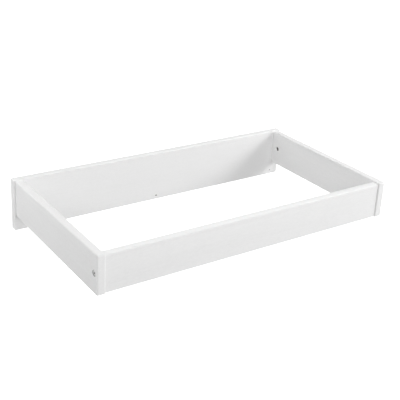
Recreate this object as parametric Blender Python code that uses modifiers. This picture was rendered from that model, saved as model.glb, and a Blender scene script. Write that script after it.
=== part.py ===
"""Changing top: an open frame of four white boards that stands on a dresser and holds a changing pad.

The boards are butted together. At each corner one connector bolt with a barrel nut pulls the joint
tight, and two wooden dowels keep the boards from turning about it. The back board is the taller one:
it hangs below the other three, behind the dresser, and is screwed to it through the holes near its
lower edge.

Metres, +Z up, +X to the right and +Y to the back. The origin is at the middle of the footprint, level
with the lower edge of the back board.
"""

import math

import bmesh
import bpy

# ---------------------------------------------------------------- driving dimensions
WIDTH = 0.887  # over the outer faces of the two side boards
BACK_LENGTH = 0.896  # the back board stands a little past each side board
SIDE_DEPTH = 0.462  # length of a side board, from its front end to the back board
BOARD = 0.022  # thickness of every board
SIDE_HEIGHT = 0.1015
BACK_HEIGHT = 0.145
BACK_STEP = 0.002  # the back board's top stands this far above the side boards' tops
FRONT_HEIGHT = 0.0975  # flush with the side boards underneath, a little lower on top
FRONT_SETBACK = 0.0035  # the front board stands this far behind the side boards' front ends
ROUNDING = 0.0035  # radius along the boards' upper edges and round the side boards' front ends
EASING = 0.0015  # radius along their lower edges and round the back board's ends
RELIEF = 0.007  # radius of the lower edge of each side board's rear end
GAP = 0.0003  # clearance between neighbours that touch

BOLT_DIAMETER = 0.006
BOLT_LENGTH = 0.055
HEAD_DIAMETER = 0.0144
HEAD_HEIGHT = 0.0022
BOLT_RISE = 0.0011  # the bolts sit this far above the middle of the side boards' height
SOCKET_FLATS = 0.004  # hexagon socket, across flats
SOCKET_DEPTH = 0.003
BOLT_BORE = 0.007
HEAD_BORE = 0.0154  # the heads are sunk a little below the boards' faces
HEAD_BORE_DEPTH = 0.0033

NUT_DIAMETER = 0.010
NUT_LENGTH = 0.012
NUT_CROSS_BORE = 0.0067
NUT_SLOT_WIDTH = 0.0014
NUT_SLOT_DEPTH = 0.0018
NUT_BORE = 0.0107
NUT_INSET = 0.0275  # from the end of the board to the barrel nut's axis

DOWEL_DIAMETER = 0.008
DOWEL_LENGTH = 0.030
DOWEL_BORE = 0.0087
DOWEL_IN_FACE = 0.012  # how far a dowel stands in the face of the first board
DOWEL_SPACING = 0.032  # above and below the bolt

SCREW_HOLE = 0.0045  # empty holes in the back board, for screws into the dresser
SCREW_HOLE_RISE = 0.0118  # above the back board's lower edge
SCREW_HOLE_X = (-0.414, -0.008, 0.4205)

# ---------------------------------------------------------------- planes that follow from them
SIDE_OUT = WIDTH / 2  # outer face of the right side board
SIDE_IN = SIDE_OUT - BOARD  # its inner face
TOTAL_DEPTH = SIDE_DEPTH + GAP + BOARD
Y_FRONT = -TOTAL_DEPTH / 2  # side boards' front ends
Y_SIDE_REAR = Y_FRONT + SIDE_DEPTH  # side boards' rear ends
Y_BACK = Y_SIDE_REAR + GAP  # back board's front face
Y_BACK_REAR = Y_BACK + BOARD
Y_BOARD_FRONT = Y_FRONT + FRONT_SETBACK  # front board's front face
Y_BOARD_REAR = Y_BOARD_FRONT + BOARD
Z_TOP = BACK_HEIGHT - BACK_STEP  # top of the side boards
Z_UNDER = Z_TOP - SIDE_HEIGHT  # underside of the side and front boards
Z_BOLT = Z_UNDER + SIDE_HEIGHT / 2 + BOLT_RISE
Y_BOLT = (Y_BOARD_FRONT + Y_BOARD_REAR) / 2  # front bolts, in the middle of the front board
X_BOLT = (SIDE_IN + SIDE_OUT) / 2  # rear bolts, in the middle of the side boards

# ---------------------------------------------------------------- clean scene and collections
for old in list(bpy.data.objects):
    bpy.data.objects.remove(old, do_unlink=True)

scene = bpy.context.scene
parts = bpy.data.collections.new("changing_top")
cutters = bpy.data.collections.new("changing_top_cutters")
scene.collection.children.link(parts)
scene.collection.children.link(cutters)


def material(name, colour, roughness, metallic=0.0):
    mat = bpy.data.materials.new(name)
    mat.use_nodes = True
    shader = mat.node_tree.nodes["Principled BSDF"]
    shader.inputs["Base Color"].default_value = (*colour, 1.0)
    shader.inputs["Roughness"].default_value = roughness
    shader.inputs["Metallic"].default_value = metallic
    mat.diffuse_color = (*colour, 1.0)
    return mat


PAINT = material("white_paint", (0.86, 0.86, 0.85), 0.45)
ZINC = material("zinc_plated_steel", (0.55, 0.55, 0.54), 0.34, 1.0)
BEECH = material("beech", (0.66, 0.47, 0.30), 0.62)


def file_under(obj, collection):
    for owner in list(obj.users_collection):
        owner.objects.unlink(obj)
    collection.objects.link(obj)


root = bpy.data.objects.new("changing_top_root", None)
root.empty_display_size = 0.05
parts.objects.link(root)


def make_part(obj, name, mat):
    obj.name = name
    obj.data.name = name
    obj.data.materials.clear()
    obj.data.materials.append(mat)
    file_under(obj, parts)
    obj.parent = root
    return obj


def subtract(obj, cutter):
    """Cut one solid out of a part and put the cutter away."""
    cut = obj.modifiers.new(cutter.name, "BOOLEAN")
    cut.operation = "DIFFERENCE"
    cut.solver = "EXACT"
    cut.object = cutter
    if cutter.name not in cutters.objects:
        file_under(cutter, cutters)
        cutter.hide_render = True
        cutter.display_type = "WIRE"


# A direction is the way that a local +Z axis is turned.
TURNS = {
    "+X": (math.radians(90), 0.0, math.radians(90)),
    "-X": (math.radians(90), 0.0, math.radians(-90)),
    "+Y": (math.radians(-90), 0.0, 0.0),
    "-Y": (math.radians(90), 0.0, 0.0),
}
STEP = {"+X": (1, 0, 0), "-X": (-1, 0, 0), "+Y": (0, 1, 0), "-Y": (0, -1, 0)}


def bore(obj, name, mouth, out, diameter, depth, sides=16):
    """Round hole whose axis points out of the board at the mouth."""
    over = 0.002
    step = STEP[out]
    middle = [m + s * (over - depth) / 2 for m, s in zip(mouth, step)]
    bpy.ops.mesh.primitive_cylinder_add(
        vertices=sides,
        radius=diameter / 2,
        depth=depth + over,
        location=middle,
        rotation=TURNS[out],
    )
    cutter = bpy.context.object
    cutter.name = f"cut_{name}"
    subtract(obj, cutter)


# ---------------------------------------------------------------- the four boards
def board(name, low, high, square_ends=(), relieved=False, round_front=False):
    """Board between two corners, rounded along every edge except those round its butted ends.

    Of a relieved butted end, the lower edge is rounded all the same. A round front has the large
    radius at its sides and its top.
    """
    centre = [(a + b) / 2 for a, b in zip(low, high)]
    bpy.ops.mesh.primitive_cube_add(size=1.0, location=centre)
    obj = bpy.context.object
    obj.scale = [b - a for a, b in zip(low, high)]
    bpy.ops.object.transform_apply(location=False, rotation=False, scale=True)
    make_part(obj, name, PAINT)

    half = [(b - a) / 2 for a, b in zip(low, high)]
    length = half.index(max(half))
    mesh = obj.data
    weight = mesh.attributes.new("bevel_weight_edge", "FLOAT", "EDGE")
    for edge in mesh.edges:
        ends = [mesh.vertices[i].co for i in edge.vertices]
        runs = max(range(3), key=lambda axis: abs(ends[0][axis] - ends[1][axis]))
        upper = ends[0].z > 0.0 and ends[1].z > 0.0
        lower = ends[0].z < 0.0 and ends[1].z < 0.0
        in_front = round_front and not lower and ends[0].y < 0.0 and ends[1].y < 0.0
        radius = ROUNDING if in_front or (runs == length and upper) else EASING
        if any(all(abs(v[axis] - side * half[axis]) < 1e-6 for v in ends) for axis, side in square_ends):
            radius = RELIEF if relieved and lower else 0.0
        weight.data[edge.index].value = radius / RELIEF

    rounding = obj.modifiers.new("rounded_edges", "BEVEL")
    rounding.limit_method = "WEIGHT"
    rounding.width = RELIEF
    rounding.segments = 3
    rounding.use_clamp_overlap = False
    return obj


back = board(
    "back_panel",
    (-BACK_LENGTH / 2, Y_BACK, 0.0),
    (BACK_LENGTH / 2, Y_BACK_REAR, BACK_HEIGHT),
)
front = board(
    "front_panel",
    (-SIDE_IN + GAP, Y_BOARD_FRONT, Z_UNDER),
    (SIDE_IN - GAP, Y_BOARD_REAR, Z_UNDER + FRONT_HEIGHT),
    square_ends=((0, -1), (0, 1)),
)
left = board(
    "left_side_panel",
    (-SIDE_OUT, Y_FRONT, Z_UNDER),
    (-SIDE_IN, Y_SIDE_REAR, Z_TOP),
    square_ends=((1, 1),),
    relieved=True,
    round_front=True,
)
right = board(
    "right_side_panel",
    (SIDE_IN, Y_FRONT, Z_UNDER),
    (SIDE_OUT, Y_SIDE_REAR, Z_TOP),
    square_ends=((1, 1),),
    relieved=True,
    round_front=True,
)

# ---------------------------------------------------------------- holes in the boards
BOLT_REACH = NUT_INSET + 0.010  # depth of the bolt's hole in a board's end
NUT_REACH = BOARD / 2 + NUT_LENGTH / 2 + GAP  # centres the nut on the bolt's axis
DOWEL_REACH = DOWEL_LENGTH - DOWEL_IN_FACE + GAP

for word, sign, side in (("left", -1, left), ("right", 1, right)):
    outward = "+X" if sign > 0 else "-X"
    inward = "-X" if sign > 0 else "+X"
    end_x = sign * (SIDE_IN - GAP)

    # front corner: bolt through the side board into the end of the front board
    bore(side, f"front_bolt_{word}", (sign * SIDE_OUT, Y_BOLT, Z_BOLT), outward, BOLT_BORE, BOARD + 0.002, 24)
    bore(side, f"front_head_{word}", (sign * SIDE_OUT, Y_BOLT, Z_BOLT), outward, HEAD_BORE, HEAD_BORE_DEPTH, 24)
    bore(front, f"end_bolt_{word}", (end_x, Y_BOLT, Z_BOLT), outward, BOLT_BORE, BOLT_REACH)
    bore(
        front,
        f"front_nut_{word}",
        (sign * (SIDE_IN - NUT_INSET), Y_BOARD_REAR, Z_BOLT),
        "+Y",
        NUT_BORE,
        NUT_REACH,
        24,
    )
    # rear corner: bolt through the back board into the end of the side board
    bore(back, f"rear_bolt_{word}", (sign * X_BOLT, Y_BACK_REAR, Z_BOLT), "+Y", BOLT_BORE, BOARD + 0.002, 24)
    bore(back, f"rear_head_{word}", (sign * X_BOLT, Y_BACK_REAR, Z_BOLT), "+Y", HEAD_BORE, HEAD_BORE_DEPTH, 24)
    bore(side, f"side_end_bolt_{word}", (sign * X_BOLT, Y_SIDE_REAR, Z_BOLT), "+Y", BOLT_BORE, BOLT_REACH)
    bore(
        side,
        f"rear_nut_{word}",
        (sign * SIDE_IN, Y_SIDE_REAR - NUT_INSET, Z_BOLT),
        inward,
        NUT_BORE,
        NUT_REACH,
        24,
    )
    # dowel holes, above and below each bolt
    for level, up in (("upper", 1), ("lower", -1)):
        z = Z_BOLT + up * DOWEL_SPACING
        bore(side, f"dowel_face_{word}_{level}", (sign * SIDE_IN, Y_BOLT, z), inward, DOWEL_BORE, DOWEL_IN_FACE + GAP)
        bore(front, f"dowel_end_{word}_{level}", (end_x, Y_BOLT, z), outward, DOWEL_BORE, DOWEL_REACH)
        bore(back, f"dowel_back_{word}_{level}", (sign * X_BOLT, Y_BACK, z), "-Y", DOWEL_BORE, DOWEL_IN_FACE + GAP)
        bore(side, f"dowel_rear_{word}_{level}", (sign * X_BOLT, Y_SIDE_REAR, z), "+Y", DOWEL_BORE, DOWEL_REACH)

for word, x in zip(("left", "middle", "right"), SCREW_HOLE_X):
    bore(back, f"screw_{word}", (x, Y_BACK_REAR, SCREW_HOLE_RISE), "+Y", SCREW_HOLE, BOARD + 0.002, 24)


# ---------------------------------------------------------------- connector bolts
def bolt_profile():
    """Half outline of the bolt, from the middle of its head down to its tip."""
    head_r = HEAD_DIAMETER / 2
    rod_r = BOLT_DIAMETER / 2
    ease = 0.0006
    points = [(0.0, HEAD_HEIGHT)]
    for i in range(4):  # rounded rim of the head
        a = math.radians(90 - 30 * i)
        points.append((head_r - ease + ease * math.cos(a), HEAD_HEIGHT - ease + ease * math.sin(a)))
    points += [
        (head_r, 0.0003),
        (head_r - 0.0003, 0.0),
        (rod_r, 0.0),
        (rod_r, -BOLT_LENGTH + 0.0012),
        (rod_r - 0.0009, -BOLT_LENGTH),
        (0.0, -BOLT_LENGTH),
    ]
    return points


def new_bolt(name):
    points = bolt_profile()
    mesh = bpy.data.meshes.new(name)
    mesh.from_pydata([(x, 0.0, z) for x, z in points], [(i, i + 1) for i in range(len(points) - 1)], [])
    obj = bpy.data.objects.new(name, mesh)
    scene.collection.objects.link(obj)
    make_part(obj, name, ZINC)
    turn = obj.modifiers.new("turned", "SCREW")
    turn.axis = "Z"
    turn.angle = math.radians(360)
    turn.screw_offset = 0.0
    turn.steps = 24
    turn.render_steps = 24
    turn.use_smooth_shade = True
    turn.use_merge_vertices = True
    turn.merge_threshold = 0.00001

    bpy.ops.mesh.primitive_cylinder_add(
        vertices=6,
        radius=SOCKET_FLATS / math.sqrt(3),
        depth=SOCKET_DEPTH + 0.002,
        location=(0.0, 0.0, HEAD_HEIGHT - SOCKET_DEPTH + (SOCKET_DEPTH + 0.002) / 2),
    )
    socket = bpy.context.object
    socket.name = f"cut_socket_{name}"
    subtract(obj, socket)
    socket.parent = obj
    return obj


SEAT = HEAD_BORE_DEPTH - GAP  # from a board's face in to the underside of a bolt's head

for place, sign in (("left", -1), ("right", 1)):
    bolt = new_bolt(f"bolt_front_{place}")
    bolt.location = (sign * (SIDE_OUT - SEAT), Y_BOLT, Z_BOLT)
    bolt.rotation_euler = TURNS["+X" if sign > 0 else "-X"]
    bolt = new_bolt(f"bolt_rear_{place}")
    bolt.location = (sign * X_BOLT, Y_BACK_REAR - SEAT, Z_BOLT)
    bolt.rotation_euler = TURNS["+Y"]


# ---------------------------------------------------------------- barrel nuts
def new_barrel_nut(name):
    """Cross-drilled cylinder along Z; the bolt passes along X, and the slot is in the +Z end."""
    mesh = bpy.data.meshes.new(name)
    bm = bmesh.new()
    bmesh.ops.create_cone(
        bm,
        cap_ends=True,
        segments=24,
        radius1=NUT_DIAMETER / 2,
        radius2=NUT_DIAMETER / 2,
        depth=NUT_LENGTH,
    )
    rims = [e for e in bm.edges if abs(abs(e.verts[0].co.z) - NUT_LENGTH / 2) < 1e-6 and abs(e.verts[0].co.z - e.verts[1].co.z) < 1e-6]
    bmesh.ops.bevel(bm, geom=rims, offset=0.0005, segments=1, profile=0.5, affect="EDGES")
    bm.to_mesh(mesh)
    bm.free()
    mesh.shade_smooth()
    mesh.set_sharp_from_angle(angle=math.radians(30))
    obj = bpy.data.objects.new(name, mesh)
    scene.collection.objects.link(obj)
    make_part(obj, name, ZINC)

    bpy.ops.mesh.primitive_cylinder_add(
        vertices=24,
        radius=NUT_CROSS_BORE / 2,
        depth=NUT_DIAMETER + 0.004,
        rotation=(0.0, math.radians(90), 0.0),
    )
    hole = bpy.context.object
    hole.name = f"cut_cross_{name}"
    subtract(obj, hole)
    hole.parent = obj

    bpy.ops.mesh.primitive_cube_add(size=1.0, location=(0.0, 0.0, NUT_LENGTH / 2 - NUT_SLOT_DEPTH / 2 + 0.0005))
    slot = bpy.context.object
    slot.scale = (NUT_DIAMETER + 0.004, NUT_SLOT_WIDTH, NUT_SLOT_DEPTH + 0.001)
    bpy.ops.object.transform_apply(location=False, rotation=False, scale=True)
    slot.name = f"cut_slot_{name}"
    subtract(obj, slot)
    slot.parent = obj
    return obj


for place, sign in (("left", -1), ("right", 1)):
    nut = new_barrel_nut(f"barrel_nut_front_{place}")
    nut.location = (sign * (SIDE_IN - NUT_INSET), Y_BOLT, Z_BOLT)
    nut.rotation_euler = TURNS["+Y"]
    nut = new_barrel_nut(f"barrel_nut_rear_{place}")
    nut.location = (sign * X_BOLT, Y_SIDE_REAR - NUT_INSET, Z_BOLT)
    nut.rotation_euler = TURNS["-X" if sign > 0 else "+X"]


# ---------------------------------------------------------------- dowels
def dowel_mesh():
    """Wooden pin along Z with chamfered ends."""
    mesh = bpy.data.meshes.new("dowel")
    bm = bmesh.new()
    bmesh.ops.create_cone(
        bm,
        cap_ends=True,
        segments=16,
        radius1=DOWEL_DIAMETER / 2,
        radius2=DOWEL_DIAMETER / 2,
        depth=DOWEL_LENGTH,
    )
    rims = [e for e in bm.edges if abs(e.verts[0].co.z - e.verts[1].co.z) < 1e-6]
    bmesh.ops.bevel(bm, geom=rims, offset=0.001, segments=1, profile=0.5, affect="EDGES")
    bm.to_mesh(mesh)
    bm.free()
    mesh.shade_smooth()
    mesh.set_sharp_from_angle(angle=math.radians(30))
    mesh.materials.append(BEECH)
    return mesh


DOWEL = dowel_mesh()
DOWEL_SHIFT = DOWEL_LENGTH / 2 - DOWEL_IN_FACE  # from the joint to the dowel's middle


def new_dowel(name, location, out):
    obj = bpy.data.objects.new(name, DOWEL)
    obj.location = location
    obj.rotation_euler = TURNS[out]
    parts.objects.link(obj)
    obj.parent = root
    return obj


for place, sign in (("left", -1), ("right", 1)):
    for level, up in (("upper", 1), ("lower", -1)):
        z = Z_BOLT + up * DOWEL_SPACING
        new_dowel(
            f"dowel_front_{place}_{level}",
            (sign * (SIDE_IN - DOWEL_SHIFT), Y_BOLT, z),
            "+X" if sign > 0 else "-X",
        )
        new_dowel(
            f"dowel_rear_{place}_{level}",
            (sign * X_BOLT, Y_BACK - DOWEL_SHIFT, z),
            "+Y",
        )
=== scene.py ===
"""Looks of the changing top: painted boards, zinc plated connector hardware, fluted dowels, light and camera."""

import math

import bmesh
import bpy
import numpy as np
from mathutils import Matrix, Vector


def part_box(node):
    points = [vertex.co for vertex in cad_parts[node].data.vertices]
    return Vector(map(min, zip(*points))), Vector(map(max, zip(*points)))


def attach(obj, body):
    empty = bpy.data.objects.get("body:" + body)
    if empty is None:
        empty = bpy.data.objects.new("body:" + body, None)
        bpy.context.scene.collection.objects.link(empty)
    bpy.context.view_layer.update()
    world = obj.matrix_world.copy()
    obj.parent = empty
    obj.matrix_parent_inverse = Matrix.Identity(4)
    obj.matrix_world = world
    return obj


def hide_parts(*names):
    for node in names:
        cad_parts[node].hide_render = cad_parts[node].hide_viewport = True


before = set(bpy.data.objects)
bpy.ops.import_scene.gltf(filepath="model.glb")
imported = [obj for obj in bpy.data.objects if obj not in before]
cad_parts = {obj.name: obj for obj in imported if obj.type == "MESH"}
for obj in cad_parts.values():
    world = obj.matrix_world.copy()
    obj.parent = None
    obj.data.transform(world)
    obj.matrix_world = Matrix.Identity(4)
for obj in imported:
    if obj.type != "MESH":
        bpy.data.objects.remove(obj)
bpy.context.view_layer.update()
scene = bpy.context.scene

# ---------------------------------------------------------------- sizes, in metres
ROUNDING = 0.0035  # radius along the boards' upper edges and round the side boards' front ends
EASING = 0.0015  # radius along their lower edges and round the back board's ends
RELIEF = 0.007  # radius of the lower edge of each side board's rear end
ARRIS = 0.00015  # the sawn ends that butt against a neighbour are only just eased
HEAD_HEIGHT = 0.0022
HEAD_RADIUS = 0.0072
HEAD_BORE_RADIUS = 0.0077  # the heads are sunk a little below the faces
HEAD_BORE_DEPTH = 0.0033
SOCKET_FLATS = 0.004
BOLT_RADIUS = 0.003
BOLT_LENGTH = 0.055
NUT_RADIUS = 0.005
NUT_LENGTH = 0.012
DOWEL_RADIUS = 0.004
DOWEL_LENGTH = 0.030
NUT_INSET = 0.0275
BOARD = 0.022


# ================================================================ camera
camera_data = bpy.data.cameras.new("photo_camera")
camera = bpy.data.objects.new("photo_camera", camera_data)
scene.collection.objects.link(camera)
camera.rotation_mode = "QUATERNION"
camera.location = (-1.18231, -1.65494, 1.01343)
camera.rotation_quaternion = (0.797372, 0.53045, -0.179093, -0.225269)
camera_data.sensor_width = 36.0
camera_data.lens = 73.9286
camera_data.shift_x = 0.02787
camera_data.shift_y = -0.09659
camera_data.clip_start = 0.05
camera_data.clip_end = 60.0
scene.camera = camera
scene.view_settings.view_transform = "Standard"


# ================================================================ light
FLOOR_LIGHT = 0.510  # the pale floor's own brightness, as the object sees it

world = bpy.data.worlds.new("studio")
scene.world = world
world.use_nodes = True
tree = world.node_tree
tree.nodes.clear()
world_out = tree.nodes.new("ShaderNodeOutputWorld")
seen = tree.nodes.new("ShaderNodeBackground")
seen.inputs["Color"].default_value = (1.0, 1.0, 1.0, 1.0)
seen.inputs["Strength"].default_value = 1.5
unseen = tree.nodes.new("ShaderNodeBackground")
unseen.inputs["Color"].default_value = (1.0, 1.0, 1.0, 1.0)
unseen.inputs["Strength"].default_value = 0.0
pick = tree.nodes.new("ShaderNodeMixShader")
path = tree.nodes.new("ShaderNodeLightPath")
tree.links.new(path.outputs["Is Camera Ray"], pick.inputs[0])
tree.links.new(unseen.outputs[0], pick.inputs[1])
tree.links.new(seen.outputs[0], pick.inputs[2])
tree.links.new(pick.outputs[0], world_out.inputs["Surface"])

LIGHT_TARGET = Vector((0.0, -0.0022, 0.093))
LIGHT_DISTANCE = 3.2
# softboxes round the object: azimuth 0 is in front of it and 90 on its right; elevation; side of the square; watts
SOFTBOXES = (
    ("front_left", 345, 25, 1.0, 8.8),
    ("front_left_low", 345, 8, 1.0, 5.8),
    ("front_left_wide", 330, 25, 1.4, 12.4),
    ("front_high", 0, 45, 1.4, 21.6),
    ("key", 40, 20, 0.6, 14.9),
    ("right", 60, 25, 1.4, 35.3),
    ("right_low", 60, 8, 1.4, 13.9),
    ("right_rear", 120, 45, 1.4, 26.7),
    ("rear", 150, 45, 1.4, 23.9),
    ("left_rear", 210, 25, 1.4, 14.5),
    ("left", 270, 25, 1.4, 27.3),
)
# small fill lamps nearby, aimed at the left side board: place; side of the square; watts
FILLS = (
    ("fill_far", (-1.6, 1.0, 0.8), 0.6, 3.7),
    ("fill_near", (-0.9, 0.3, 0.45), 0.3, 0.61),
)


def lamp(name, place, target, size, watts):
    data = bpy.data.lights.new(name, "AREA")
    data.shape = "SQUARE"
    data.size = size
    data.energy = watts
    obj = bpy.data.objects.new(name, data)
    scene.collection.objects.link(obj)
    obj.location = place
    obj.rotation_mode = "QUATERNION"
    obj.rotation_quaternion = (target - Vector(place)).to_track_quat("-Z", "Y")
    obj.visible_camera = False


for name, azimuth, elevation, size, watts in SOFTBOXES:
    a, e = math.radians(azimuth), math.radians(elevation)
    away = Vector((math.sin(a) * math.cos(e), -math.cos(a) * math.cos(e), math.sin(e)))
    lamp(name, LIGHT_TARGET + away * LIGHT_DISTANCE, LIGHT_TARGET, size, watts)
for name, place, size, watts in FILLS:
    lamp(name, place, Vector((-0.4435, 0.0, 0.09)), size, watts)


# ================================================================ materials
class Nodes:
    """Small helper that adds and wires shader nodes."""

    def __init__(self, name):
        self.material = bpy.data.materials.new(name)
        self.material.use_nodes = True
        self.tree = self.material.node_tree
        self.shader = self.tree.nodes["Principled BSDF"]
        self.coords = self.tree.nodes.new("ShaderNodeTexCoord").outputs["Object"]

    def link(self, source, target):
        self.tree.links.new(source, target)

    def mapped(self, scale, location=(0.0, 0.0, 0.0), source=None):
        node = self.tree.nodes.new("ShaderNodeMapping")
        node.inputs["Scale"].default_value = scale
        node.inputs["Location"].default_value = location
        self.link(source or self.coords, node.inputs["Vector"])
        return node.outputs["Vector"]

    def noise(self, vector, scale=1.0, detail=2.0, roughness=0.5, distortion=0.0):
        node = self.tree.nodes.new("ShaderNodeTexNoise")
        node.inputs["Scale"].default_value = scale
        node.inputs["Detail"].default_value = detail
        node.inputs["Roughness"].default_value = roughness
        node.inputs["Distortion"].default_value = distortion
        self.link(vector, node.inputs["Vector"])
        return node.outputs["Fac"]

    def ranged(self, value, low, high, to_low, to_high):
        node = self.tree.nodes.new("ShaderNodeMapRange")
        for key, number in (("From Min", low), ("From Max", high), ("To Min", to_low), ("To Max", to_high)):
            node.inputs[key].default_value = number
        self.link(value, node.inputs["Value"])
        return node.outputs["Result"]

    def maths(self, operation, a, b):
        node = self.tree.nodes.new("ShaderNodeMath")
        node.operation = operation
        for socket, value in zip(node.inputs, (a, b)):
            if isinstance(value, (int, float)):
                socket.default_value = value
            else:
                self.link(value, socket)
        return node.outputs[0]

    def mixed(self, factor, a, b):
        node = self.tree.nodes.new("ShaderNodeMix")
        node.data_type = "RGBA"
        self.link(factor, node.inputs["Factor"])
        for key, value in (("A", a), ("B", b)):
            socket = [s for s in node.inputs if s.name == key and s.type == "RGBA"][0]
            if isinstance(value, tuple):
                socket.default_value = (*value, 1.0)
            else:
                self.link(value, socket)
        return [s for s in node.outputs if s.type == "RGBA"][0]

    def bump(self, height, distance, strength=1.0, normal=None):
        node = self.tree.nodes.new("ShaderNodeBump")
        node.inputs["Distance"].default_value = distance
        node.inputs["Strength"].default_value = strength
        self.link(height, node.inputs["Height"])
        if normal is not None:
            self.link(normal, node.inputs["Normal"])
        return node.outputs["Normal"]

    def attribute(self, name):
        node = self.tree.nodes.new("ShaderNodeAttribute")
        node.attribute_name = name
        return node.outputs["Fac"]


WHITE = (0.86, 0.86, 0.86)


def white_paint(name, along, offset, contrast):
    """Sprayed satin white over planed wood: the grain just telegraphs through, lengthwise."""
    n = Nodes(name)
    coarse = [330.0] * 3
    coarse[along] = 7.0
    fine = [1300.0] * 3
    fine[along] = 30.0
    short = [300.0] * 3
    short[along] = 130.0
    cathedral = [26.0] * 3
    cathedral[along] = 1.6
    grain = n.noise(n.mapped(coarse, offset), detail=4.0, roughness=0.62, distortion=0.35)
    flecks = n.noise(n.mapped(short, offset), detail=2.0, roughness=0.55)
    pores = n.noise(n.mapped(fine, offset), detail=2.0, roughness=0.6)
    bands = n.noise(n.mapped(cathedral, offset), detail=3.0, roughness=0.55, distortion=0.8)
    peel = n.noise(n.mapped((700.0, 700.0, 700.0), offset), detail=2.0, roughness=0.5)
    blotch = n.noise(n.mapped((14.0, 14.0, 14.0), offset), detail=2.0, roughness=0.5)
    worn = n.attribute("edge")

    tone = n.maths("ADD", n.maths("MULTIPLY", grain, 0.22), n.maths("MULTIPLY", bands, 0.22))
    tone = n.maths("ADD", tone, n.maths("MULTIPLY", blotch, 0.12))
    tone = n.maths("ADD", tone, n.maths("MULTIPLY", flecks, 0.44))
    colour = n.mixed(
        n.ranged(tone, 0.30, 0.70, 0.0, 1.0),
        (WHITE[0] * (1 - contrast), WHITE[1] * (1 - contrast), WHITE[2] * (1 - contrast) * 0.998),
        (WHITE[0] * (1 + contrast), WHITE[1] * (1 + contrast), WHITE[2] * (1 + contrast) * 0.998),
    )
    # paint thins on the rounded edges, so they are a shade greyer, in patches
    thin = n.maths("MULTIPLY", worn, n.ranged(grain, 0.35, 0.65, 0.25, 1.0))
    colour = n.mixed(n.maths("MULTIPLY", thin, 0.12), colour, (0.70, 0.70, 0.69))
    n.link(colour, n.shader.inputs["Base Color"])

    rough = n.ranged(n.maths("ADD", n.maths("MULTIPLY", peel, 0.5), n.maths("MULTIPLY", blotch, 0.5)), 0.3, 0.7, 0.40, 0.50)
    rough = n.maths("ADD", rough, n.maths("MULTIPLY", worn, -0.03))
    n.link(rough, n.shader.inputs["Roughness"])

    normal = n.bump(grain, 0.00009)
    normal = n.bump(pores, 0.000015, normal=normal)
    normal = n.bump(peel, 0.000012, normal=normal)
    n.link(normal, n.shader.inputs["Normal"])
    return n.material


def hole_wall(name, dark, light):
    """Inside of a drilled hole: wood with a dusting of overspray; given near-black colours it is painted shade instead.
    """
    n = Nodes(name)
    rings = n.noise(n.mapped((900.0, 900.0, 900.0)), detail=3.0, roughness=0.6)
    fleck = n.noise(n.mapped((260.0, 260.0, 260.0)), detail=3.0, roughness=0.7)
    colour = n.mixed(n.ranged(fleck, 0.4, 0.62, 0.0, 1.0), dark, light)
    n.link(colour, n.shader.inputs["Base Color"])
    n.link(n.ranged(rings, 0.3, 0.7, 0.75, 0.9), n.shader.inputs["Roughness"])
    n.link(n.bump(rings, 0.0001), n.shader.inputs["Normal"])
    return n.material


def zinc(name, base, rough, recess_shade_tone):
    """Zinc plated steel: turning marks round the axis, faint crystalline blotches, rougher plating in the recesses,
    which are also darkened to near black as painted shade.
    """
    n = Nodes(name)
    split = n.tree.nodes.new("ShaderNodeSeparateXYZ")
    n.link(n.coords, split.inputs[0])
    x, y = split.outputs["X"], split.outputs["Y"]
    radius = n.maths("SQRT", n.maths("ADD", n.maths("MULTIPLY", x, x), n.maths("MULTIPLY", y, y)), 0.0)
    join = n.tree.nodes.new("ShaderNodeCombineXYZ")
    n.link(n.maths("MULTIPLY", radius, 9000.0), join.inputs["X"])
    n.link(n.maths("MULTIPLY", split.outputs["Z"], 9000.0), join.inputs["Y"])
    rings = n.noise(join.outputs[0], detail=2.0, roughness=0.6)
    cloud = n.noise(n.mapped((600.0, 600.0, 600.0)), detail=3.0, roughness=0.55)
    scuff = n.noise(n.mapped((2600.0, 700.0, 1500.0)), detail=2.0, roughness=0.6)
    worn = n.attribute("edge")
    recess_shade = n.attribute("recess_shade")
    colour = n.mixed(n.ranged(cloud, 0.35, 0.65, 0.0, 1.0), (base - 0.05, base - 0.05, base - 0.055), (base + 0.05, base + 0.05, base + 0.045))
    colour = n.mixed(n.maths("MULTIPLY", worn, 0.35), colour, (0.92, 0.92, 0.92))
    # painted shade: where the recess mask is set, the colour goes to the near-black recess tone
    colour = n.mixed(recess_shade, colour, (recess_shade_tone, recess_shade_tone, recess_shade_tone * 0.98))
    n.link(colour, n.shader.inputs["Base Color"])
    n.shader.inputs["Metallic"].default_value = 1.0
    rough = n.ranged(n.maths("ADD", n.maths("MULTIPLY", cloud, 0.5), n.maths("MULTIPLY", scuff, 0.5)), 0.3, 0.7, rough - 0.07, rough + 0.07)
    rough = n.maths("ADD", rough, n.maths("MULTIPLY", recess_shade, 0.2))
    n.link(rough, n.shader.inputs["Roughness"])
    normal = n.bump(rings, 0.00002)
    normal = n.bump(scuff, 0.000008, normal=normal)
    n.link(normal, n.shader.inputs["Normal"])
    return n.material


def beech(name):
    """Bare beech pin, grain along local Z, with the short dark flecks of that wood."""
    n = Nodes(name)
    grain = n.noise(n.mapped((900.0, 900.0, 45.0)), detail=4.0, roughness=0.6, distortion=0.3)
    fleck = n.noise(n.mapped((2200.0, 2200.0, 420.0)), detail=1.0, roughness=0.5)
    colour = n.mixed(n.ranged(grain, 0.3, 0.7, 0.0, 1.0), (0.55, 0.36, 0.22), (0.70, 0.51, 0.34))
    colour = n.mixed(n.ranged(fleck, 0.62, 0.74, 0.0, 0.6), colour, (0.32, 0.18, 0.10))
    n.link(colour, n.shader.inputs["Base Color"])
    n.link(n.ranged(grain, 0.3, 0.7, 0.55, 0.72), n.shader.inputs["Roughness"])
    n.link(n.bump(grain, 0.00005), n.shader.inputs["Normal"])
    return n.material


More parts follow.
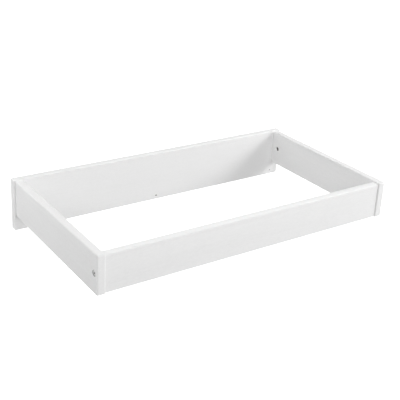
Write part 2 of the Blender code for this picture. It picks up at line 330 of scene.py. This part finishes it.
HOLE = hole_wall("drilled_wood", (0.22, 0.21, 0.195), (0.40, 0.39, 0.37))
BORE_PAINTED_SHADE_WALL = hole_wall("bore_wall_painted_shade", (0.035, 0.032, 0.03), (0.075, 0.07, 0.065))  # painted shade: a near-black wall in the head bores, standing for the shadow round each sunk head
# the last number is the near-black tone of the painted shade in the socket, slot and cross hole
BOLT_ZINC = zinc("zinc_plate_matt", 0.83, 0.66, 0.03)
NUT_ZINC = zinc("zinc_plate_satin", 0.74, 0.47, 0.08)
BEECH = beech("beech")


# ================================================================ mesh tools
def new_object(name, mesh):
    obj = bpy.data.objects.new(name, mesh)
    scene.collection.objects.link(obj)
    return obj


def turned_mesh(name, profile, steps):
    """Closed solid of revolution about Z; the profile runs from the top of the axis to its bottom."""
    bm = bmesh.new()
    rings = []
    for radius, z in profile:
        if radius < 1e-9:
            rings.append([bm.verts.new((0.0, 0.0, z))])
        else:
            rings.append(
                [
                    bm.verts.new(
                        (radius * math.cos(2 * math.pi * i / steps), radius * math.sin(2 * math.pi * i / steps), z)
                    )
                    for i in range(steps)
                ]
            )
    for upper, lower in zip(rings, rings[1:]):
        for i in range(steps):
            j = (i + 1) % steps
            corners = [upper[i % len(upper)], lower[i % len(lower)], lower[j % len(lower)], upper[j % len(upper)]]
            unique = list(dict.fromkeys(corners))
            if len(unique) > 2:
                bm.faces.new(unique)
    bmesh.ops.recalc_face_normals(bm, faces=bm.faces)
    mesh = bpy.data.meshes.new(name)
    bm.to_mesh(mesh)
    bm.free()
    return mesh


def settled(obj):
    """The object's mesh with its modifiers applied, in the object's own space."""
    bpy.context.view_layer.update()
    graph = bpy.context.evaluated_depsgraph_get()
    mesh = bpy.data.meshes.new_from_object(obj.evaluated_get(graph), depsgraph=graph)
    return mesh


def cut(obj, cutters):
    """Subtract every cutter from the object, apply, and remove the cutters."""
    for cutter in cutters:
        step = obj.modifiers.new("cut", "BOOLEAN")
        step.operation = "DIFFERENCE"
        step.solver = "EXACT"
        step.object = cutter
    mesh = settled(obj)
    obj.modifiers.clear()
    old = obj.data
    obj.data = mesh
    bpy.data.meshes.remove(old)
    for cutter in cutters:
        used = cutter.data
        bpy.data.objects.remove(cutter, do_unlink=True)
        if used.users == 0:
            bpy.data.meshes.remove(used)


def point_attribute(mesh, name, values):
    layer = mesh.attributes.new(name, "FLOAT", "POINT")
    layer.data.foreach_set("value", values)


def finish_shading(obj, angle=32.0):
    obj.data.shade_smooth()
    obj.data.set_sharp_from_angle(angle=math.radians(angle))
    weighted = obj.modifiers.new("even_shading", "WEIGHTED_NORMAL")
    weighted.mode = "FACE_AREA"
    weighted.weight = 50
    weighted.keep_sharp = True


# A direction is the way that a local +Z axis is turned.
TURNS = {
    "+X": Matrix.Rotation(math.radians(90), 4, "Y"),
    "-X": Matrix.Rotation(math.radians(-90), 4, "Y"),
    "+Y": Matrix.Rotation(math.radians(-90), 4, "X"),
    "-Y": Matrix.Rotation(math.radians(90), 4, "X"),
}


# ================================================================ the boards
PAINTED, BARE, BORE_PAINTED_SHADE = 0, 1, 2  # the finish of a hole's wall, which is also its material's place on the board; the third is a near-black wall that is painted shade


class Hole:
    """A round hole: where its mouth is, which way it faces, and the radius, depth and finish of each of its steps."""

    def __init__(self, mouth, out, *steps, through=False, tip=True, rim=0.0003):
        self.mouth, self.out, self.steps, self.through, self.tip, self.rim = Vector(mouth), out, steps, through, tip, rim

    def cutter(self):
        """One closed cutter with softly broken rims, and with the cone that a drill leaves if the hole is blind."""
        over = 0.002
        above = 0.00001  # a rim's first ring stands clear of the board's face, so the face is cut cleanly
        arc = []
        for i in range(5):
            a = math.radians(90 - 22.5 * i)
            arc.append((self.rim - self.rim * math.cos(a), above - self.rim + self.rim * math.sin(a)))
        first = self.steps[0][0]
        profile = [(0.0, over), (first + self.rim, over)] + [(first + r, z) for r, z in arc]
        for (radius, depth, _), (narrower, _, _) in zip(self.steps, self.steps[1:]):
            profile += [(radius, -depth), (narrower, -depth)]
        radius, depth, _ = self.steps[-1]
        if self.through:
            profile += [(radius + r, -depth - z) for r, z in reversed(arc)]
            profile += [(radius + self.rim, -depth - over), (0.0, -depth - over)]
        else:
            profile += [(radius, -depth), (0.0, -depth - (radius * 0.55 if self.tip else 0.0))]
        obj = new_object("drill", turned_mesh("drill", profile, 48))
        obj.matrix_world = Matrix.Translation(self.mouth) @ TURNS[self.out]
        obj.hide_render = True
        return obj

    def finish(self, points):
        """The finish of a face with these corners if it lies in the hole, below the rims; otherwise None."""
        back = (Matrix.Translation(self.mouth) @ TURNS[self.out]).inverted()
        local = [back @ q for q in points]
        top = -self.rim * 0.9
        for radius, depth, finish in self.steps:
            last = (radius, depth, finish) == self.steps[-1]
            end = -depth - 0.00005
            if last:
                end = -depth + self.rim * 0.9 if self.through else -depth - radius
            if all(math.hypot(p.x, p.y) < radius * 1.02 and end < p.z < top for p in local):
                return finish
            top = -depth + 0.00005
        return None


def board(node, along, offset, holes, contrast, square_ends=(), snug=0.0, relieved=False, relief_painted_shade=False, round_front=False):
    """One painted board; its butted ends reach by the snug length into the clearance that the solid model keeps."""
    low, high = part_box(node)
    for axis, side in square_ends:
        if side > 0:
            high[axis] += snug
        else:
            low[axis] -= snug
    size = high - low
    middle = (low + high) / 2
    across = 1 - along

    def butted(edge):
        """Whether the whole edge lies in one of the sawn ends."""
        return any(
            all(abs(v.co[axis] - (high if side > 0 else low)[axis]) < 1e-6 for v in edge.verts)
            for axis, side in square_ends
        )

    bm = bmesh.new()
    bmesh.ops.create_cube(bm, size=1.0)
    for v in bm.verts:
        v.co = Vector([v.co[i] * size[i] for i in range(3)]) + middle
    if relieved:
        lower = [
            e for e in bm.edges if butted(e) and all(abs(v.co.z - low.z) < 1e-6 for v in e.verts)
        ]
        bmesh.ops.bevel(bm, geom=lower, offset=RELIEF, offset_type="OFFSET", segments=8, profile=0.5, affect="EDGES")
    weight = bm.edges.layers.float.new("bevel_weight_edge")
    for edge in bm.edges:
        if butted(edge) or edge.calc_face_angle() < 0.5:
            continue
        a, b = (v.co for v in edge.verts)
        upper = abs(a.z - high.z) < 1e-6 and abs(b.z - high.z) < 1e-6
        lengthwise = abs(a[along] - b[along]) > size[along] / 2
        in_front = round_front and max(a.y, b.y) < low.y + 1e-6 and max(a.z, b.z) > high.z - 1e-6
        edge[weight] = 1.0 if (upper and lengthwise) or in_front else EASING / ROUNDING
    mesh = bpy.data.meshes.new(node + "_painted")
    bm.to_mesh(mesh)
    bm.free()
    obj = new_object(node + "_painted", mesh)
    rounding = obj.modifiers.new("rounded_edges", "BEVEL")
    rounding.limit_method = "WEIGHT"
    rounding.width = ROUNDING
    rounding.segments = 8
    rounding.use_clamp_overlap = False
    rounding.miter_outer = "MITER_SHARP"
    mesh = settled(obj)
    obj.modifiers.clear()
    sharp = obj.data
    obj.data = mesh
    bpy.data.meshes.remove(sharp)

    bm = bmesh.new()
    bm.from_mesh(mesh)
    # loops along the length keep the long faces from being single polygons
    pieces = 24
    for i in range(1, pieces):
        at = middle.copy()
        at[along] = low[along] + ROUNDING * 2 + (size[along] - ROUNDING * 4) * i / pieces
        normal = Vector((0, 0, 0))
        normal[along] = 1.0
        bmesh.ops.bisect_plane(bm, geom=bm.verts[:] + bm.edges[:] + bm.faces[:], plane_co=at, plane_no=normal)
    if square_ends:
        rim = [e for e in bm.edges if butted(e) and len(e.link_faces) == 2 and e.calc_face_angle() > 0.5]
        bmesh.ops.bevel(bm, geom=rim, offset=ARRIS, offset_type="OFFSET", segments=2, profile=0.5, affect="EDGES")
    bmesh.ops.recalc_face_normals(bm, faces=bm.faces)
    bm.to_mesh(mesh)
    bm.free()
    cut(obj, [hole.cutter() for hole in holes])
    mesh = obj.data
    mesh.name = node + "_painted"

    mesh.materials.clear()
    mesh.materials.append(white_paint("white_paint_" + node, along, offset, contrast))
    mesh.materials.append(HOLE)
    mesh.materials.append(BORE_PAINTED_SHADE_WALL)
    for face in mesh.polygons:
        corners = [mesh.vertices[i].co for i in face.vertices]
        found = [finish for finish in (hole.finish(corners) for hole in holes) if finish is not None]
        face.material_index = found[0] if found else PAINTED
        in_end = any(
            all(abs(p[axis] - (high if side > 0 else low)[axis]) < 1e-5 for p in corners) for axis, side in square_ends
        )
        relief_painted_shade_face = relief_painted_shade and face.normal.y > 0.05 and face.normal.z < -0.05 and min(p.y for p in corners) > high.y - RELIEF - 1e-5
        if in_end or relief_painted_shade_face:  # the ends that butt against a neighbour are not painted; where asked, the relief's rounding is bare as well, which is painted shade that darkens the crevice at the foot of the rear joint
            face.material_index = BARE
    # how far each point is round an edge: 0 on the flats, 1 in the middle of a rounding
    values = np.zeros(len(mesh.vertices))
    for v in mesh.vertices:
        depth = [min(v.co[i] - low[i], high[i] - v.co[i]) for i in range(3)]
        sides = [1 if high[i] - v.co[i] < v.co[i] - low[i] else -1 for i in range(3)]
        for i, j in ((0, 1), (0, 2), (1, 2)):
            if any((axis, side) in square_ends for axis, side in ((i, sides[i]), (j, sides[j]))):
                continue
            large = (i, j) == (across, 2) and sides[2] > 0
            large |= round_front and 1 in (i, j) and sides[1] < 0 and not (j == 2 and sides[2] < 0)
            radius = ROUNDING if large else EASING
            inset = min(radius - depth[i], radius - depth[j])
            values[v.index] = max(values[v.index], min(1.0, max(0.0, inset) / (radius * 0.29)))
    point_attribute(mesh, "edge", values)
    finish_shading(obj)
    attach(obj, "root")
    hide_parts(node)
    return obj


left_low, left_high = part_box("left_side_panel")
right_low, right_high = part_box("right_side_panel")
front_low, front_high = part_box("front_panel")
back_low, back_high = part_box("back_panel")

# the head bore's wall takes the near-black painted shade
BOLT_STEPS = ((HEAD_BORE_RADIUS, HEAD_BORE_DEPTH, BORE_PAINTED_SHADE), (0.0035, BOARD, BARE))
NUT_STEP = (0.00535, BOARD / 2 + NUT_LENGTH / 2 + 0.0003, BARE)
holes = {"front_panel": [], "back_panel": [], "left_side_panel": [], "right_side_panel": []}
for word, sign in (("left", -1), ("right", 1)):
    outward = "+X" if sign > 0 else "-X"
    inward = "-X" if sign > 0 else "+X"
    side = word + "_side_panel"
    low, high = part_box(side)
    side_out = high.x if sign > 0 else low.x
    side_in = low.x if sign > 0 else high.x
    front_end = front_high.x if sign > 0 else front_low.x

    # front corner: bolt hole through the side board, bolt and nut holes in the front board's end
    bolt_low, bolt_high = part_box(f"bolt_front_{word}")
    y, z = (bolt_low.y + bolt_high.y) / 2, (bolt_low.z + bolt_high.z) / 2
    holes[side].append(Hole((side_out, y, z), outward, *BOLT_STEPS, through=True))
    holes["front_panel"].append(Hole((front_end, y, z), outward, (0.0035, NUT_INSET + 0.010, BARE)))
    nut_low, nut_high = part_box(f"barrel_nut_front_{word}")
    nut = (nut_low + nut_high) / 2
    holes["front_panel"].append(Hole((nut.x, front_high.y, nut.z), "+Y", NUT_STEP, tip=False))

    # rear corner: bolt hole through the back board, bolt and nut holes in the side board's end
    bolt_low, bolt_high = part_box(f"bolt_rear_{word}")
    x, z = (bolt_low.x + bolt_high.x) / 2, (bolt_low.z + bolt_high.z) / 2
    holes["back_panel"].append(Hole((x, back_high.y, z), "+Y", *BOLT_STEPS, through=True))
    holes[side].append(Hole((x, high.y, z), "+Y", (0.0035, NUT_INSET + 0.010, BARE)))
    nut_low, nut_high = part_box(f"barrel_nut_rear_{word}")
    nut = (nut_low + nut_high) / 2
    holes[side].append(Hole((side_in, nut.y, nut.z), inward, NUT_STEP, tip=False))

    for level in ("upper", "lower"):
        pin_low, pin_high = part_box(f"dowel_front_{word}_{level}")
        pin = (pin_low + pin_high) / 2
        holes[side].append(Hole((side_in, pin.y, pin.z), inward, (0.00435, 0.0123, BARE)))
        holes["front_panel"].append(Hole((front_end, pin.y, pin.z), outward, (0.00435, 0.0183, BARE)))
        pin_low, pin_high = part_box(f"dowel_rear_{word}_{level}")
        pin = (pin_low + pin_high) / 2
        holes["back_panel"].append(Hole((pin.x, back_low.y, pin.z), "-Y", (0.00435, 0.0123, BARE)))
        holes[side].append(Hole((pin.x, high.y, pin.z), "+Y", (0.00435, 0.0183, BARE)))

for x in (-0.414, -0.008, 0.4205):  # empty screw holes near the back board's lower edge
    finish = PAINTED if x > 0.4 else BARE  # the paint ran into the right one
    holes["back_panel"].append(Hole((x, back_high.y, 0.0118), "+Y", (0.00225, BOARD, finish), through=True))

board("back_panel", 0, (3.1, 0.7, 1.9), holes["back_panel"], 0.03)
board("front_panel", 0, (11.4, 5.2, 2.3), holes["front_panel"], 0.04, square_ends=((0, -1), (0, 1)))
# on the left board the bare relief rounding is painted shade; the right board's relief keeps its paint
board("left_side_panel", 1, (7.7, 2.9, 8.8), holes["left_side_panel"], 0.04, square_ends=((1, 1),), snug=0.00005, relieved=True, relief_painted_shade=True, round_front=True)
board("right_side_panel", 1, (1.3, 9.1, 4.4), holes["right_side_panel"], 0.04, square_ends=((1, 1),), snug=0.0002, relieved=True, round_front=True)


# ================================================================ connector bolts
def thread_rows(crest, root, pitch, top, bottom, rows_per_turn, steps, fade):
    """Rings of a helical thread between two heights; it fades out over the given length at the top."""
    rows = []
    count = int(round((top - bottom) / pitch * rows_per_turn))
    for k in range(count + 1):
        z = top - (top - bottom) * k / count
        ring = []
        for i in range(steps):
            turn = (z / pitch - i / steps) % 1.0
            wave = min(1.0, max(0.0, abs(turn - 0.5) * 2.6 - 0.15))  # flat crest and narrow root
            depth = (crest - root) * (1.0 - wave)
            if fade > 0:
                depth *= min(1.0, max(0.0, (top - z) / fade))
            r = crest - depth
            ring.append((r * math.cos(2 * math.pi * i / steps), r * math.sin(2 * math.pi * i / steps), z))
        rows.append(ring)
    return rows


def bolt_mesh():
    steps = 48
    ease = 0.0007
    rings = []

    def ring(radius, z):
        rings.append([(radius * math.cos(2 * math.pi * i / steps), radius * math.sin(2 * math.pi * i / steps), z) for i in range(steps)])

    # head: a barely crowned face, a rounded rim, a short edge and the underside
    for r in (0.0027, 0.0034, 0.0045, 0.0056, 0.0064):
        ring(r, HEAD_HEIGHT - 0.00012 * (r / HEAD_RADIUS) ** 2)
    for i in range(7):
        a = math.radians(84 - 14 * i)
        ring(HEAD_RADIUS - ease + ease * math.cos(a), HEAD_HEIGHT - 0.00012 - ease + ease * math.sin(a))
    ring(HEAD_RADIUS, 0.0004)
    ring(HEAD_RADIUS - 0.0001, 0.00012)
    ring(HEAD_RADIUS - 0.0004, 0.0)
    ring(0.0040, 0.0)
    ring(BOLT_RADIUS + 0.0003, -0.0001)
    ring(BOLT_RADIUS, -0.0004)
    ring(BOLT_RADIUS, -0.021)
    rings += thread_rows(BOLT_RADIUS - 0.00002, BOLT_RADIUS - 0.00058, 0.001, -0.0215, -BOLT_LENGTH + 0.0012, 8, steps, 0.0018)
    ring(BOLT_RADIUS - 0.0008, -BOLT_LENGTH + 0.0003)
    ring(BOLT_RADIUS - 0.0011, -BOLT_LENGTH)
    bm = bmesh.new()
    made = [[bm.verts.new(p) for p in one] for one in rings]
    for upper, lower in zip(made, made[1:]):
        for i in range(steps):
            j = (i + 1) % steps
            bm.faces.new((upper[i], lower[i], lower[j], upper[j]))
    bm.faces.new(list(reversed(made[-1])))
    bm.faces.new(made[0])
    bmesh.ops.recalc_face_normals(bm, faces=bm.faces)
    mesh = bpy.data.meshes.new("connector_bolt")
    bm.to_mesh(mesh)
    bm.free()
    return mesh


def socket_cutter():
    """Hexagon key socket with a broken mouth and a drilled cone at its floor."""
    radius = SOCKET_FLATS / math.sqrt(3)
    flare = 0.00022
    rows = [
        (radius + flare * 3, HEAD_HEIGHT + flare * 2),
        (radius + flare, HEAD_HEIGHT),
        (radius, HEAD_HEIGHT - flare),
        (radius, HEAD_HEIGHT - 0.0026),
        (radius * 0.55, HEAD_HEIGHT - 0.0029),
    ]
    bm = bmesh.new()
    made = []
    for r, z in rows:
        made.append([bm.verts.new((r * math.cos(math.pi / 3 * i), r * math.sin(math.pi / 3 * i), z)) for i in range(6)])
    for upper, lower in zip(made, made[1:]):
        for i in range(6):
            j = (i + 1) % 6
            bm.faces.new((upper[i], lower[i], lower[j], upper[j]))
    bm.faces.new(made[0])
    tip = bm.verts.new((0.0, 0.0, HEAD_HEIGHT - 0.0034))
    for i in range(6):
        bm.faces.new((made[-1][i], tip, made[-1][(i + 1) % 6]))
    bmesh.ops.recalc_face_normals(bm, faces=bm.faces)
    mesh = bpy.data.meshes.new("socket")
    bm.to_mesh(mesh)
    bm.free()
    obj = new_object("socket", mesh)
    obj.hide_render = True
    return obj


def make_bolt():
    obj = new_object("bolt_pattern", bolt_mesh())
    cut(obj, [socket_cutter()])
    mesh = obj.data
    bpy.data.objects.remove(obj, do_unlink=True)
    mesh.name = "connector_bolt"
    mesh.materials.clear()
    mesh.materials.append(BOLT_ZINC)
    values = np.zeros(len(mesh.vertices))
    for v in mesh.vertices:
        r = math.hypot(v.co.x, v.co.y)
        rim = max(0.0, 1.0 - abs(r - (HEAD_RADIUS - 0.0003)) / 0.0005) if v.co.z > HEAD_HEIGHT - 0.0012 else 0.0
        mouth = max(0.0, 1.0 - abs(r - SOCKET_FLATS / math.sqrt(3)) / 0.0004) if v.co.z > HEAD_HEIGHT - 0.0003 else 0.0
        values[v.index] = min(1.0, rim + mouth)
    point_attribute(mesh, "edge", values)
    # painted shade mask: points inside the hex socket
    recess_shade_mask = [math.hypot(v.co.x, v.co.y) < SOCKET_FLATS / math.sqrt(3) * 1.02 and 0.0 > v.co.z - HEAD_HEIGHT + 0.0001 > -0.0036 for v in mesh.vertices]
    point_attribute(mesh, "recess_shade", np.array(recess_shade_mask, dtype=float))
    return mesh


def place(mesh, name, node, location, out, spin, slot):
    obj = new_object(name, mesh)
    obj.matrix_world = Matrix.Translation(location) @ TURNS[out] @ Matrix.Rotation(math.radians(spin), 4, "Z")
    finish_shading(obj, 40.0)
    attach(obj, "root")
    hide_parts(node)
    return obj


BOLT = make_bolt()
for word, sign, spin in (("left", -1, 17.0), ("right", 1, 41.0)):
    low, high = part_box(f"bolt_front_{word}")
    x = (high.x if sign > 0 else low.x) - sign * HEAD_HEIGHT
    place(BOLT, f"bolt_front_{word}_zinc", f"bolt_front_{word}", (x, (low.y + high.y) / 2, (low.z + high.z) / 2), "+X" if sign > 0 else "-X", spin, "zinc_plate")
    low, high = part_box(f"bolt_rear_{word}")
    place(BOLT, f"bolt_rear_{word}_zinc", f"bolt_rear_{word}", ((low.x + high.x) / 2, high.y - HEAD_HEIGHT, (low.z + high.z) / 2), "+Y", spin + 9.0, "zinc_plate")


# ================================================================ barrel nuts
def make_nut():
    """Cross-drilled and tapped cylinder along Z with a driver slot in its +Z end."""
    half = NUT_LENGTH / 2
    ease = 0.0005
    profile = [(0.0, half)]
    profile.append((NUT_RADIUS - ease, half))
    for i in range(1, 5):
        a = math.radians(90 - 22.5 * i)
        profile.append((NUT_RADIUS - ease + ease * math.cos(a), half - ease + ease * math.sin(a)))
    profile += [(r, -z) for r, z in reversed(profile)]
    obj = new_object("nut_pattern", turned_mesh("barrel_nut", profile, 48))

    rows = thread_rows(0.00338, 0.00306, 0.001, 0.0065, -0.0065, 8, 32, 0.0)
    bm = bmesh.new()
    made = [[bm.verts.new(p) for p in one] for one in rows]
    for upper, lower in zip(made, made[1:]):
        for i in range(32):
            j = (i + 1) % 32
            bm.faces.new((upper[i], lower[i], lower[j], upper[j]))
    bm.faces.new(list(reversed(made[-1])))
    bm.faces.new(made[0])
    bmesh.ops.recalc_face_normals(bm, faces=bm.faces)
    tap = bpy.data.meshes.new("tap")
    bm.to_mesh(tap)
    bm.free()
    tap_object = new_object("tap", tap)
    tap_object.matrix_world = TURNS["+X"]

    bm = bmesh.new()
    bmesh.ops.create_cube(bm, size=1.0)
    for v in bm.verts:
        v.co = Vector((v.co.x * (NUT_RADIUS * 2 + 0.004), v.co.y * 0.0014, v.co.z * 0.0028 + half - 0.0004))
    bottom = [e for e in bm.edges if all(v.co.z < half - 0.001 for v in e.verts) and abs(e.verts[0].co.x - e.verts[1].co.x) > 0.005]
    bmesh.ops.bevel(bm, geom=bottom, offset=0.0002, segments=3, profile=0.5, affect="EDGES")
    slot_mesh = bpy.data.meshes.new("slot")
    bm.to_mesh(slot_mesh)
    bm.free()
    slot_object = new_object("slot", slot_mesh)
    cut(obj, [tap_object, slot_object])
    mesh = obj.data
    bpy.data.objects.remove(obj, do_unlink=True)
    mesh.name = "barrel_nut"
    mesh.materials.clear()
    mesh.materials.append(NUT_ZINC)
    values = np.zeros(len(mesh.vertices))
    for v in mesh.vertices:
        r = math.hypot(v.co.x, v.co.y)
        values[v.index] = max(0.0, 1.0 - abs(r - NUT_RADIUS + 0.0003) / 0.0006) if abs(v.co.z) > half - 0.0007 else 0.0
    point_attribute(mesh, "edge", values)
    # painted shade mask: points in the driver slot and the tapped cross hole
    recess_shade_mask = [(abs(v.co.y) < 0.0008 and half - 0.0030 < v.co.z < half - 0.0008) or math.hypot(v.co.y, v.co.z) < 0.0035 for v in mesh.vertices]
    point_attribute(mesh, "recess_shade", np.array(recess_shade_mask, dtype=float))
    return mesh


NUT = make_nut()
for word, sign, spin in (("left", -1, 0.0), ("right", 1, 0.0)):
    low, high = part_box(f"barrel_nut_front_{word}")
    place(NUT, f"barrel_nut_front_{word}_zinc", f"barrel_nut_front_{word}", (low + high) / 2, "+Y", spin, "zinc_plate")
    low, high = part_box(f"barrel_nut_rear_{word}")
    place(NUT, f"barrel_nut_rear_{word}_zinc", f"barrel_nut_rear_{word}", (low + high) / 2, "-X" if sign > 0 else "+X", 90.0, "zinc_plate")


# ================================================================ dowels
def make_dowel():
    """Beech pin with rolled flutes and chamfered ends."""
    half = DOWEL_LENGTH / 2
    flutes, per_flute = 20, 6
    steps = flutes * per_flute
    heights = [half, half - 0.0001, half - 0.0010, half - 0.0012]
    radii = [DOWEL_RADIUS - 0.0011, DOWEL_RADIUS - 0.0009, DOWEL_RADIUS - 0.0001, DOWEL_RADIUS]
    rows = list(zip(heights, radii))
    rows += [(half - 0.0012 - (DOWEL_LENGTH - 0.0024) * k / 12, DOWEL_RADIUS) for k in range(1, 12)]
    rows += [(-z, r) for z, r in reversed(rows[:4])]
    bm = bmesh.new()
    made = []
    for z, radius in rows:
        ring = []
        for i in range(steps):
            phase = (i % per_flute) / per_flute
            groove = 0.00022 * max(0.0, math.sin(math.pi * phase)) ** 3
            r = min(radius, DOWEL_RADIUS - groove)
            a = 2 * math.pi * i / steps
            ring.append(bm.verts.new((r * math.cos(a), r * math.sin(a), z)))
        made.append(ring)
    for upper, lower in zip(made, made[1:]):
        for i in range(steps):
            j = (i + 1) % steps
            bm.faces.new((upper[i], lower[i], lower[j], upper[j]))
    bm.faces.new(made[0])
    bm.faces.new(list(reversed(made[-1])))
    bmesh.ops.recalc_face_normals(bm, faces=bm.faces)
    mesh = bpy.data.meshes.new("fluted_dowel")
    bm.to_mesh(mesh)
    bm.free()
    mesh.materials.append(BEECH)
    point_attribute(mesh, "edge", np.zeros(len(mesh.vertices)))
    return mesh


DOWEL = make_dowel()
for corner in ("front", "rear"):
    for word, sign in (("left", -1), ("right", 1)):
        for level, spin in (("upper", 0.0), ("lower", 63.0)):
            node = f"dowel_{corner}_{word}_{level}"
            low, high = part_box(node)
            out = "+Y" if corner == "rear" else ("+X" if sign > 0 else "-X")
            place(DOWEL, node + "_beech", node, (low + high) / 2, out, spin, "beech")


# ================================================================ floor
def floor_material():
    """A pale floor: the camera sees it clean white, and the object gets the light that it throws back."""
    n = Nodes("pale_floor")
    tree = n.tree
    tree.nodes.remove(n.shader)
    out = [node for node in tree.nodes if node.type == "OUTPUT_MATERIAL"][0]
    bright = tree.nodes.new("ShaderNodeEmission")
    bright.inputs["Strength"].default_value = 1.5
    soft = tree.nodes.new("ShaderNodeEmission")
    soft.inputs["Strength"].default_value = FLOOR_LIGHT
    path = tree.nodes.new("ShaderNodeLightPath")
    pick = tree.nodes.new("ShaderNodeMixShader")
    tree.links.new(path.outputs["Is Camera Ray"], pick.inputs[0])
    tree.links.new(soft.outputs[0], pick.inputs[1])
    tree.links.new(bright.outputs[0], pick.inputs[2])
    clear = tree.nodes.new("ShaderNodeBsdfTransparent")
    geometry = tree.nodes.new("ShaderNodeNewGeometry")
    sided = tree.nodes.new("ShaderNodeMixShader")
    tree.links.new(geometry.outputs["Backfacing"], sided.inputs[0])
    tree.links.new(pick.outputs[0], sided.inputs[1])
    tree.links.new(clear.outputs[0], sided.inputs[2])
    tree.links.new(sided.outputs[0], out.inputs["Surface"])
    return n.material


bm = bmesh.new()
bmesh.ops.create_grid(bm, x_segments=8, y_segments=8, size=20.0)
floor_mesh = bpy.data.meshes.new("floor")
bm.to_mesh(floor_mesh)
bm.free()
floor = new_object("floor", floor_mesh)
floor.location = (0.0, 0.0, -0.0006)
floor_mesh.materials.append(floor_material())
